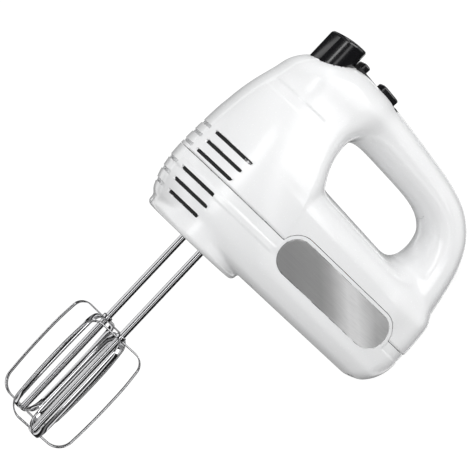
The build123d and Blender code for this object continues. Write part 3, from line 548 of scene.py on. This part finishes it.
def deck_solid(name, span, half, low, high, radius):
    """A pad on the switch deck with a rounded outline and a soft top edge."""
    front, rear = span
    middle = (front + rear) / 2
    long_half = (rear - front) / 2
    steps = [(0.0, low), (0.0, high - 1.3)] + [(1.3 * (1 - math.cos(a)), high - 1.3 * (1 - math.sin(a)))
                                              for a in np.radians(np.linspace(12, 90, 8))]
    outline = []
    for sx, sy, a0 in ((1, 1, 0), (-1, 1, 90), (-1, -1, 180), (1, -1, 270)):
        centre = (sx * (long_half - radius), sy * (half - radius))
        outline += arc(centre, radius, a0, a0 + 90, 8)
    outline = np.array(outline)
    loops = []
    for inset, height in steps:
        scale = np.array([(long_half - inset) / long_half, (half - inset) / half])
        loops.append(np.column_stack([outline * scale, np.full(len(outline), height)]))
    count = len(outline)
    for t in (0.85, 0.6, 0.3):
        top = loops[len(steps) - 1].copy()
        top[:, :2] *= t
        loops.append(top)
    points = np.concatenate(loops)
    faces = []
    for row in range(len(loops) - 1):
        for k in range(count):
            n = (k + 1) % count
            faces.append((row * count + k, row * count + n, (row + 1) * count + n, (row + 1) * count + k))
    faces.append(tuple(range(count))[::-1])
    faces.append(tuple(range((len(loops) - 1) * count, len(loops) * count)))
    along = points[:, 0] + middle
    above = points[:, 2]
    u = DECK_MID_U + along * math.cos(DECK_FALL) + above * math.sin(DECK_FALL)
    w = DECK_MID_W - along * math.sin(DECK_FALL) + above * math.cos(DECK_FALL)
    return solid_object(name, np.column_stack([u, points[:, 1], w]), faces)


SPRING_FOOT = 119.8
SPRING_LENGTH = 34.5
SPRING_R, SPRING_WIRE, SPRING_TURNS = 7.0, 0.6, 7


def eject_spring():
    """The coil under the eject button, as one round wire."""
    steps, sides = 24 * SPRING_TURNS, 10
    points, faces = [], []
    for step in range(steps + 1):
        turn = 2 * math.pi * step / 24
        for k in range(sides):
            around = 2 * math.pi * k / sides
            radius = SPRING_R + SPRING_WIRE * math.cos(around)
            points.append((EJECT_U + radius * math.cos(turn), radius * math.sin(turn),
                           SPRING_FOOT + SPRING_LENGTH * step / steps + SPRING_WIRE * math.sin(around)))
    for step in range(steps):
        for k in range(sides):
            n = (k + 1) % sides
            a, b = step * sides, (step + 1) * sides
            faces.append((a + k, a + n, b + n, b + k))
    faces.append(tuple(range(sides)))
    faces.append(tuple(range(steps * sides, (steps + 1) * sides)))
    return solid_object("eject_return_spring", points, faces)


def gland_ring():
    """The cord's bushing: an open ring that ends just proud of the shell."""
    profile = [(3.6, -12.0), (7.4, -12.0), (7.4, -10.4), (5.9, -10.2), (5.9, 5.6), (5.3, 6.2), (4.2, 6.2), (3.6, 5.6)]
    turns = 48
    points, faces = [], []
    for radius, run in profile:
        for angle in np.linspace(0, 2 * math.pi, turns, endpoint=False):
            off = radius * math.cos(angle)
            points.append((CORD_U + run * math.cos(CORD_RISE) - off * math.sin(CORD_RISE), radius * math.sin(angle),
                           CORD_W + run * math.sin(CORD_RISE) + off * math.cos(CORD_RISE)))
    rows = len(profile)
    for row in range(rows):
        for k in range(turns):
            a, b = row * turns, (row + 1) % rows * turns
            n = (k + 1) % turns
            faces.append((a + k, a + n, b + n, b + k))
    return solid_object("cord_bushing", points, faces)


HEAD_TOP = -72.0
HEAD_BOTTOM = -149.0
STRIP_HALF = 2.0
STRIP_THICK = 0.9
SHAFT_R = 2.3
BLADE_TURN = {"left": -8.0, "right": -37.0}


def strip_outline():
    """Right-hand half of one blade loop, from the shaft out, down the bowed side and back in."""
    side = curve([(-145, 21.3), (-138, 22.3), (-125, 23.1), (-108, 23.4), (-92, 23.1), (-80.5, 22.2)])
    top = [(r, HEAD_TOP - 0.45) for r in (SHAFT_R - 0.3, 5.0, 9.0, 12.6)]
    top += arc((13.6, HEAD_TOP - 9.0), 8.55, 84, 6, 14)
    down = [(float(side(w)), w) for w in np.linspace(-84.0, -136.0, 22)]
    low = arc((11.6, HEAD_BOTTOM + 11.2), 10.8, -4, -86, 16)
    return top + down + low + [(r, HEAD_BOTTOM + 0.42) for r in (8.0, 5.0, SHAFT_R - 0.3)]


def blade_loops(hand, axis_y):
    """Four flat strips, each swept round the outline with softly worn edges."""
    path = np.array(strip_outline())
    heading = np.gradient(path, axis=0)
    heading /= np.linalg.norm(heading, axis=1)[:, None]
    normal = np.column_stack([-heading[:, 1], heading[:, 0]])
    t = STRIP_THICK / 2
    section = [(-STRIP_HALF, -t + 0.2), (-STRIP_HALF + 0.2, -t), (STRIP_HALF - 0.2, -t), (STRIP_HALF, -t + 0.2),
               (STRIP_HALF, t - 0.2), (STRIP_HALF - 0.2, t), (-STRIP_HALF + 0.2, t), (-STRIP_HALF, t - 0.2)]
    count = len(section)
    points, faces = [], []
    for quarter in range(4):
        angle = math.radians(BLADE_TURN[hand] + 90 * quarter)
        out = np.array([math.cos(angle), math.sin(angle)])
        side = np.array([-math.sin(angle), math.cos(angle)])
        foot = len(points)
        for (radius, height), (nr, nw) in zip(path, normal):
            for across, lift in section:
                flat = out * (radius + nr * lift) + side * across
                points.append((flat[0], axis_y + flat[1], height + nw * lift))
        for row in range(len(path) - 1):
            for k in range(count):
                n = (k + 1) % count
                a, b = foot + row * count, foot + (row + 1) * count
                faces.append((a + k, a + n, b + n, b + k))
        faces.append(tuple(range(foot, foot + count)))
        faces.append(tuple(range(foot + (len(path) - 1) * count, foot + len(path) * count)))
    return solid_object(hand + "_wire_head", points, faces, 50.0)


def beater_shaft(hand, axis_y):
    profile = [(0.0, HEAD_BOTTOM + 0.2), (SHAFT_R, HEAD_BOTTOM + 0.2), (SHAFT_R, 45.2), (SHAFT_R - 0.8, 46.0),
               (0.0, 46.0)]
    return lathe(hand + "_shaft_rod", profile, 0.0, axis_y, 48)


def beater_caps(hand, axis_y):
    collar = [(0.0, HEAD_TOP), (3.1, HEAD_TOP), (3.4, HEAD_TOP + 0.3), (3.4, HEAD_TOP + 1.7)]
    collar += arc((2.7, HEAD_TOP + 1.7), 0.7, 20, 90, 5) + [(0.0, HEAD_TOP + 2.4)]
    upper = lathe(hand + "_head_collar", collar, 0.0, axis_y, 48)
    rivet = [(0.0, HEAD_BOTTOM - 1.5), (1.6, HEAD_BOTTOM - 1.4), (2.6, HEAD_BOTTOM - 1.0),
             (3.2, HEAD_BOTTOM - 0.4), (3.2, HEAD_BOTTOM + 0.1), (0.0, HEAD_BOTTOM + 0.1)]
    lower = lathe(hand + "_head_rivet", rivet, 0.0, axis_y, 48)
    return upper, lower


# ------------------------------------------------------------------ materials
def shader(name, color, roughness, metallic=0.0, **sockets):
    """A principled material; sockets holds any further fixed values by socket name."""
    material = bpy.data.materials.new(name)
    material.use_nodes = True
    core = material.node_tree.nodes["Principled BSDF"]
    core.inputs["Base Color"].default_value = (*color, 1)
    core.inputs["Roughness"].default_value = roughness
    core.inputs["Metallic"].default_value = metallic
    for socket, value in sockets.items():
        core.inputs[socket.replace("_", " ")].default_value = value
    return material


def noise(material, scale, detail=3.0, stretch=(1, 1, 1)):
    """Noise in object space, with the scale in cycles per metre."""
    tree = material.node_tree
    where = tree.nodes.new("ShaderNodeTexCoord")
    spread = tree.nodes.new("ShaderNodeMapping")
    spread.inputs["Scale"].default_value = stretch
    texture = tree.nodes.new("ShaderNodeTexNoise")
    texture.inputs["Scale"].default_value = scale
    texture.inputs["Detail"].default_value = detail
    tree.links.new(where.outputs["Object"], spread.inputs["Vector"])
    tree.links.new(spread.outputs["Vector"], texture.inputs["Vector"])
    return texture


def add_bump(material, texture, strength, height):
    tree = material.node_tree
    bump = tree.nodes.new("ShaderNodeBump")
    bump.inputs["Strength"].default_value = strength
    bump.inputs["Distance"].default_value = height
    tree.links.new(texture.outputs["Fac"], bump.inputs["Height"])
    tree.links.new(bump.outputs["Normal"], tree.nodes["Principled BSDF"].inputs["Normal"])


def add_range(material, texture, socket, low, high):
    """Drives a socket between two values (numbers or colours) by the texture."""
    tree = material.node_tree
    core = tree.nodes["Principled BSDF"]
    if isinstance(low, tuple):
        ramp = tree.nodes.new("ShaderNodeValToRGB")
        ramp.color_ramp.elements[0].position = 0.3
        ramp.color_ramp.elements[1].position = 0.7
        ramp.color_ramp.elements[0].color = (*low, 1)
        ramp.color_ramp.elements[1].color = (*high, 1)
        tree.links.new(texture.outputs["Fac"], ramp.inputs["Fac"])
        tree.links.new(ramp.outputs["Color"], core.inputs[socket])
    else:
        remap = tree.nodes.new("ShaderNodeMapRange")
        remap.inputs["From Min"].default_value = 0.3
        remap.inputs["From Max"].default_value = 0.7
        remap.inputs["To Min"].default_value = low
        remap.inputs["To Max"].default_value = high
        tree.links.new(texture.outputs["Fac"], remap.inputs["Value"])
        tree.links.new(remap.outputs["Result"], core.inputs[socket])


def white_plastic():
    material = shader("glossy_white_plastic", (0.80, 0.805, 0.81), 0.24, IOR=1.5, Coat_Weight=0.35,
                      Coat_Roughness=0.08)
    add_range(material, noise(material, 9.0, 2.0), "Base Color", (0.795, 0.80, 0.806), (0.815, 0.818, 0.822))
    fine = noise(material, 900.0, 2.0)
    add_range(material, fine, "Roughness", 0.21, 0.28)
    add_bump(material, fine, 0.04, 0.00003)
    return material


# Painted shade: near-black for the white shells' inner faces and for the walls and floors far down in their slot
# pockets.
def inner_plastic():
    material = shader("painted_shade_plastic", (0.02, 0.02, 0.021), 0.7)
    add_range(material, noise(material, 300.0), "Roughness", 0.6, 0.8)
    return material


def black_gloss():
    material = shader("glossy_black_plastic", (0.006, 0.006, 0.007), 0.2, IOR=1.5, Coat_Weight=0.5,
                      Coat_Roughness=0.05)
    fine = noise(material, 700.0, 2.0)
    add_range(material, fine, "Roughness", 0.16, 0.24)
    add_bump(material, fine, 0.05, 0.00003)
    return material


def black_satin():
    material = shader("satin_black_plastic", (0.012, 0.012, 0.013), 0.42, IOR=1.5)
    fine = noise(material, 2500.0, 3.0)
    add_range(material, fine, "Roughness", 0.36, 0.5)
    add_bump(material, fine, 0.25, 0.00005)
    return material


def grey_ramp(tree, stops):
    """A colour ramp through greys, given as (position, grey) pairs."""
    ramp = tree.nodes.new("ShaderNodeValToRGB")
    bands = ramp.color_ramp.elements
    while len(bands) < len(stops):
        bands.new(0.5)
    for band, (position, grey) in zip(bands, stops):
        band.position = position
        band.color = (grey, grey, grey, 1)
    return ramp


# Painted highlight on the flank plates: grey of the base colour by place along a slanting line, as (mm along the
# mixer, grey).
PLATE_PAINTED_SHEEN = ((32, 0.31), (62, 0.38), (72, 0.5), (81, 0.72), (89, 0.95), (98, 0.97), (107, 0.78), (116, 0.6),
               (128, 0.62))
PAINTED_SHEEN_LEAN = 1.25                     # the painted highlight band runs forward as it rises


def brushed_plate():
    """Steel brushed along the mixer, with a painted highlight: one slanting sheen band painted into the base colour
    towards its heel end.
    """
    material = shader("brushed_steel_plate", (0.62, 0.62, 0.625), 0.36, 0.5, Anisotropic=0.55)
    streaks = noise(material, 2200.0, 4.0, (1.0, 1.0, 0.02))
    add_range(material, streaks, "Roughness", 0.30, 0.44)
    add_range(material, noise(material, 1400.0, 4.0, (1.0, 1.0, 0.015)), "Base Color",
              (0.9, 0.9, 0.905), (1.0, 1.0, 1.0))
    add_bump(material, streaks, 0.12, 0.00002)
    tree = material.node_tree
    # Painted highlight: a grey ramp along the slanting line multiplies the brushed base colour.
    where = tree.nodes.new("ShaderNodeTexCoord")
    lean = tree.nodes.new("ShaderNodeVectorMath")
    lean.operation = "DOT_PRODUCT"
    lean.inputs[1].default_value = (1000.0 * PAINTED_SHEEN_LEAN, 0, -1000.0)
    start = HEEL_U + PAINTED_SHEEN_LEAN * (PARTING_W - PLATE_W)
    first, last = PLATE_PAINTED_SHEEN[0][0], PLATE_PAINTED_SHEEN[-1][0]
    spread = tree.nodes.new("ShaderNodeMapRange")
    spread.inputs["From Min"].default_value = first - start
    spread.inputs["From Max"].default_value = last - start
    ramp = grey_ramp(tree, [((along - first) / (last - first), grey) for along, grey in PLATE_PAINTED_SHEEN])
    core = tree.nodes["Principled BSDF"]
    brushed = core.inputs["Base Color"].links[0].from_socket
    both = tree.nodes.new("ShaderNodeVectorMath")
    both.operation = "MULTIPLY"
    tree.links.new(where.outputs["Object"], lean.inputs[0])
    tree.links.new(lean.outputs["Value"], spread.inputs["Value"])
    tree.links.new(spread.outputs["Result"], ramp.inputs["Fac"])
    tree.links.new(ramp.outputs["Color"], both.inputs[0])
    tree.links.new(brushed, both.inputs[1])
    tree.links.new(both.outputs["Vector"], core.inputs["Base Color"])
    return material


def chrome():
    material = shader("polished_chrome", (0.5, 0.5, 0.51), 0.07, 1.0)
    drawn = noise(material, 600.0, 3.0, (0.15, 1.0, 1.0))
    add_range(material, drawn, "Roughness", 0.05, 0.11)
    add_bump(material, drawn, 0.03, 0.00003)
    return material


def metal(name, low, high, rough_low, rough_high, stretch=(1, 1, 1)):
    material = shader(name, low, rough_low, 1.0)
    worked = noise(material, 800.0, 3.0, stretch)
    add_range(material, worked, "Base Color", low, high)
    add_range(material, worked, "Roughness", rough_low, rough_high)
    return material


def plain(name, low, high, roughness):
    material = shader(name, low, roughness)
    grain = noise(material, 500.0, 3.0)
    add_range(material, grain, "Base Color", low, high)
    add_bump(material, grain, 0.1, 0.00005)
    return material


WHITE = white_plastic()
PAINTED_SHADE = inner_plastic()
BLACK = black_gloss()
SATIN = black_satin()
PLATE = brushed_plate()
CHROME = chrome()
BY_SLOT = {
    "white_shell": WHITE,
    "black_gloss": BLACK,
    "black_satin": SATIN,
    "brushed_plate": PLATE,
    "chrome_beater": CHROME,
    "zinc_steel": metal("zinc_plated_steel", (0.52, 0.52, 0.53), (0.62, 0.62, 0.63), 0.28, 0.4),
    "spring_steel": metal("drawn_spring_wire", (0.4, 0.4, 0.41), (0.5, 0.5, 0.5), 0.25, 0.35),
    "core_steel": metal("varnished_laminations", (0.12, 0.12, 0.13), (0.2, 0.2, 0.21), 0.4, 0.6, (1, 1, 30)),
    "copper_winding": metal("enamelled_copper", (0.5, 0.18, 0.07), (0.62, 0.26, 0.1), 0.3, 0.45, (8, 1, 1)),
    "sintered_bronze": metal("sintered_bronze", (0.45, 0.3, 0.14), (0.55, 0.38, 0.2), 0.45, 0.6),
    "carbon": plain("carbon_block", (0.01, 0.01, 0.01), (0.03, 0.03, 0.03), 0.6),
    "nylon": plain("natural_nylon", (0.62, 0.6, 0.52), (0.68, 0.66, 0.58), 0.45),
    "inner_plastic": plain("grey_inner_plastic", (0.05, 0.05, 0.05), (0.08, 0.08, 0.08), 0.5),
}


def finish_piece(piece, body, slot, *nodes):
    """Gives a piece its slot's material unless it has one already, hangs it on its body, and hides the CAD nodes that
    it stands for.
    """
    if not piece.data.materials:
        piece.data.materials.append(BY_SLOT[slot])
    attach(piece, body)
    if nodes:
        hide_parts(*nodes)


# ------------------------------------------------------------------ the pieces
CELL = 0.85


def shell_piece(name, fields, low, high, node):
    """A housing shell, with painted shade: near-black on its inner faces and far down in its slots, which stop short
    as pockets.
    """
    points, faces = surface(fields, low, high, CELL)
    piece = mesh_object(name, points, faces)
    piece.data.materials.append(WHITE)
    piece.data.materials.append(PAINTED_SHADE)
    u, y, _ = points.T
    # Painted shade: faces more than 0.6 mm inside the outer form, except the notch floors across the nose, take the
    # near-black material.
    painted_shade_faces = ((form(*points.T) < -0.6) & ((np.abs(y) > NOTCH_HALF + 1) | (u > -30)))[faces].all(axis=1)
    piece.data.polygons.foreach_set("material_index", painted_shade_faces.astype(np.int32))
    finish_piece(piece, "motor_unit", "white_shell", node)
    return piece


shell_piece("upper_shell", upper_fields, (-52, -47, 37), (149, 47, 155), "upper_housing")
shell_piece("lower_shell", lower_fields, (-52, -47, -2), (149, 47, 53), "lower_housing")

points, faces = surface(cover_fields, (28, -12, 97), (100, 12, 125), CELL * 0.8)
finish_piece(mesh_object("handle_inner_cover", points, faces), "motor_unit", "white_shell", "handle_cover")

for side, hand in (("left", -1), ("right", 1)):
    low_y, high_y = (-45, -36) if hand < 0 else (36, 45)
    points, faces = surface(plate_fields(hand), (26, low_y, 23), (124, high_y, 51), (0.9, 0.22, 0.7))
    finish_piece(mesh_object("flank_plate_" + side, points, faces), "motor_unit", "brushed_plate",
                 "side_plate_" + side)

finish_piece(eject_button(), "ejector", "black_gloss", "eject_button")
finish_piece(deck_solid("turbo_key", (-17.95, -12.4), 6.0, -0.45, 4.4, 1.6), "turbo", "black_gloss", "turbo_button")
finish_piece(deck_solid("speed_knob", (1.5, 16.05), 5.5, 0.3, 4.9, 2.2), "slider", "black_gloss", "speed_slider")

finish_piece(gland_ring(), "motor_unit", "black_satin", "cord_gland")

spring = eject_spring()
finish_piece(spring, "motor_unit", "spring_steel", "eject_spring")
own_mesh(spring)

for hand, axis_y in (("left", -SPINDLE_Y), ("right", SPINDLE_Y)):
    body = hand + "_beater"
    finish_piece(beater_shaft(hand, axis_y), body, "chrome_beater", hand + "_beater_shaft")
    finish_piece(blade_loops(hand, axis_y), body, "chrome_beater", hand + "_beater_blades")
    collar, rivet = beater_caps(hand, axis_y)
    finish_piece(collar, body, "chrome_beater", hand + "_beater_caps")
    finish_piece(rivet, body, "chrome_beater")

SLOT_OF = {part["node"]: part["material_slot"] for part in frame["record"]["subparts"]}
for node, piece in frame["nodes"].items():
    piece.data.materials.clear()
    piece.data.materials.append(BY_SLOT[SLOT_OF[node]])

# ------------------------------------------------------------------ camera, light and stage
VIEW_YAW = math.radians(20.0)         # camera round towards the nose
VIEW_ROLL = math.radians(43.3)        # working pose turned clockwise in the picture
CAMERA_RANGE = 1.15
FRAME_WIDTH = 0.2914
SENSOR = 36.0
AIM_RIGHT = 0.0154                    # picture centre from the beater axes, along and above
AIM_UP = 0.0221

into = Vector((0, math.cos(VIEW_YAW), -math.sin(VIEW_YAW)))
level = Vector((0, -math.sin(VIEW_YAW), -math.cos(VIEW_YAW)))
rise = Vector((1, 0, 0))
right = level * math.cos(VIEW_ROLL) + rise * math.sin(VIEW_ROLL)
up = -level * math.sin(VIEW_ROLL) + rise * math.cos(VIEW_ROLL)
aim = spot(0, 0, 0) + level * AIM_RIGHT + rise * AIM_UP

camera = bpy.data.objects.new("camera", bpy.data.cameras.new("camera"))
SCENE.collection.objects.link(camera)
camera.data.sensor_width = SENSOR
camera.data.lens = SENSOR * CAMERA_RANGE / FRAME_WIDTH
camera.data.clip_start = 0.05
camera.data.clip_end = 50.0
turn = Matrix((right, up, -into)).transposed().to_4x4()
camera.matrix_world = Matrix.Translation(aim - into * CAMERA_RANGE) @ turn
SCENE.camera = camera
SCENE.view_settings.view_transform = "Standard"


def soft_light(name, place_at, size, power):
    """A rectangular light, its second side along the mixer's height."""
    lamp = bpy.data.objects.new(name, bpy.data.lights.new(name, "AREA"))
    lamp.data.shape = "RECTANGLE"
    lamp.data.size, lamp.data.size_y = size
    lamp.data.energy = power
    SCENE.collection.objects.link(lamp)
    away = (place_at - aim).normalized()
    side = rise.cross(away).normalized()
    lamp.matrix_world = Matrix.Translation(place_at) @ Matrix((side, away.cross(side), away)).transposed().to_4x4()


SOFT_RUN = rise * 0.7 + right * 0.15 - into * 0.66
MIRROR_RUN = level * 0.75 + rise * 0.66
SOFT_BANDS = ((-1.0, 0.75), (-0.3, 0.5), (0.15, 0.66), (0.6, 0.98), (1.0, 1.4))
MIRROR_BANDS = ((-1.0, 0.02), (-0.9, 0.02), (-0.82, 1.3), (-0.68, 1.6), (-0.62, 0.02), (-0.3, 0.02), (-0.16, 0.34),
                (0.02, 0.36), (0.1, 0.04), (0.3, 0.02), (0.35, 1.6), (0.44, 1.6), (0.5, 0.02), (0.84, 0.02),
                (1.0, 1.2))
soft_light("key_light", aim + right * 1.0 + up * 0.4 - into * 0.8, (0.9, 1.0), 10.0)
soft_light("front_strip", aim - into * 1.2 - level * 0.22 + rise * 0.1, (0.22, 1.0), 2.5)


def band_ramp(tree, direction, stops):
    """Grey bands over the world by how far a ray leans towards a direction, from -1 to 1."""
    where = tree.nodes.new("ShaderNodeTexCoord")
    lean = tree.nodes.new("ShaderNodeVectorMath")
    lean.operation = "DOT_PRODUCT"
    lean.inputs[1].default_value = direction
    spread = tree.nodes.new("ShaderNodeMapRange")
    spread.inputs["From Min"].default_value = -1.0
    spread.inputs["From Max"].default_value = 1.0
    ramp = grey_ramp(tree, [((lean_at + 1) / 2, grey) for lean_at, grey in stops])
    tree.links.new(where.outputs["Generated"], lean.inputs[0])
    tree.links.new(lean.outputs["Value"], spread.inputs["Value"])
    tree.links.new(spread.outputs["Result"], ramp.inputs["Fac"])
    return ramp.outputs["Color"]


def studio_world():
    """Soft light from above, banded reflections for the bright metal, plain white to the camera."""
    world = bpy.data.worlds.new("studio")
    SCENE.world = world
    world.use_nodes = True
    tree = world.node_tree
    tree.nodes.clear()
    soft = tree.nodes.new("ShaderNodeBackground")
    soft.inputs["Strength"].default_value = 1.0
    tree.links.new(band_ramp(tree, SOFT_RUN.normalized(), SOFT_BANDS), soft.inputs["Color"])
    mirrored = tree.nodes.new("ShaderNodeBackground")
    tree.links.new(band_ramp(tree, MIRROR_RUN.normalized(), MIRROR_BANDS), mirrored.inputs["Color"])
    white = tree.nodes.new("ShaderNodeBackground")
    white.inputs["Color"].default_value = (1, 1, 1, 1)
    path = tree.nodes.new("ShaderNodeLightPath")
    glossy = tree.nodes.new("ShaderNodeMixShader")
    seen = tree.nodes.new("ShaderNodeMixShader")
    out = tree.nodes.new("ShaderNodeOutputWorld")
    tree.links.new(path.outputs["Is Glossy Ray"], glossy.inputs["Fac"])
    tree.links.new(soft.outputs["Background"], glossy.inputs[1])
    tree.links.new(mirrored.outputs["Background"], glossy.inputs[2])
    tree.links.new(path.outputs["Is Camera Ray"], seen.inputs["Fac"])
    tree.links.new(glossy.outputs["Shader"], seen.inputs[1])
    tree.links.new(white.outputs["Background"], seen.inputs[2])
    tree.links.new(seen.outputs["Shader"], out.inputs["Surface"])


studio_world()


def pale_floor():
    """A white sweep: bright to the camera, dim to the mixer, with only a faint shadow."""
    size = 6.0
    mesh = bpy.data.meshes.new("floor")
    ground = CAD_BOX[0][2] - 0.0002
    mesh.from_pydata([(-size, -size, ground), (size, -size, ground), (size, size, ground), (-size, size, ground)],
                     [], [(0, 1, 2, 3)])
    floor = bpy.data.objects.new("floor", mesh)
    SCENE.collection.objects.link(floor)
    floor.visible_glossy = False
    material = bpy.data.materials.new("floor_white")
    material.use_nodes = True
    tree = material.node_tree
    tree.nodes.clear()
    glow = tree.nodes.new("ShaderNodeEmission")
    glow.inputs["Strength"].default_value = 0.93
    dim = tree.nodes.new("ShaderNodeEmission")
    dim.inputs["Strength"].default_value = 0.35
    path = tree.nodes.new("ShaderNodeLightPath")
    pick = tree.nodes.new("ShaderNodeMixShader")
    matte = tree.nodes.new("ShaderNodeBsdfDiffuse")
    matte.inputs["Color"].default_value = (0.16, 0.16, 0.16, 1)
    both = tree.nodes.new("ShaderNodeAddShader")
    out = tree.nodes.new("ShaderNodeOutputMaterial")
    tree.links.new(path.outputs["Is Camera Ray"], pick.inputs["Fac"])
    tree.links.new(dim.outputs["Emission"], pick.inputs[1])
    tree.links.new(glow.outputs["Emission"], pick.inputs[2])
    tree.links.new(pick.outputs["Shader"], both.inputs[0])
    tree.links.new(matte.outputs["BSDF"], both.inputs[1])
    tree.links.new(both.outputs["Shader"], out.inputs["Surface"])
    mesh.materials.append(material)


pale_floor()
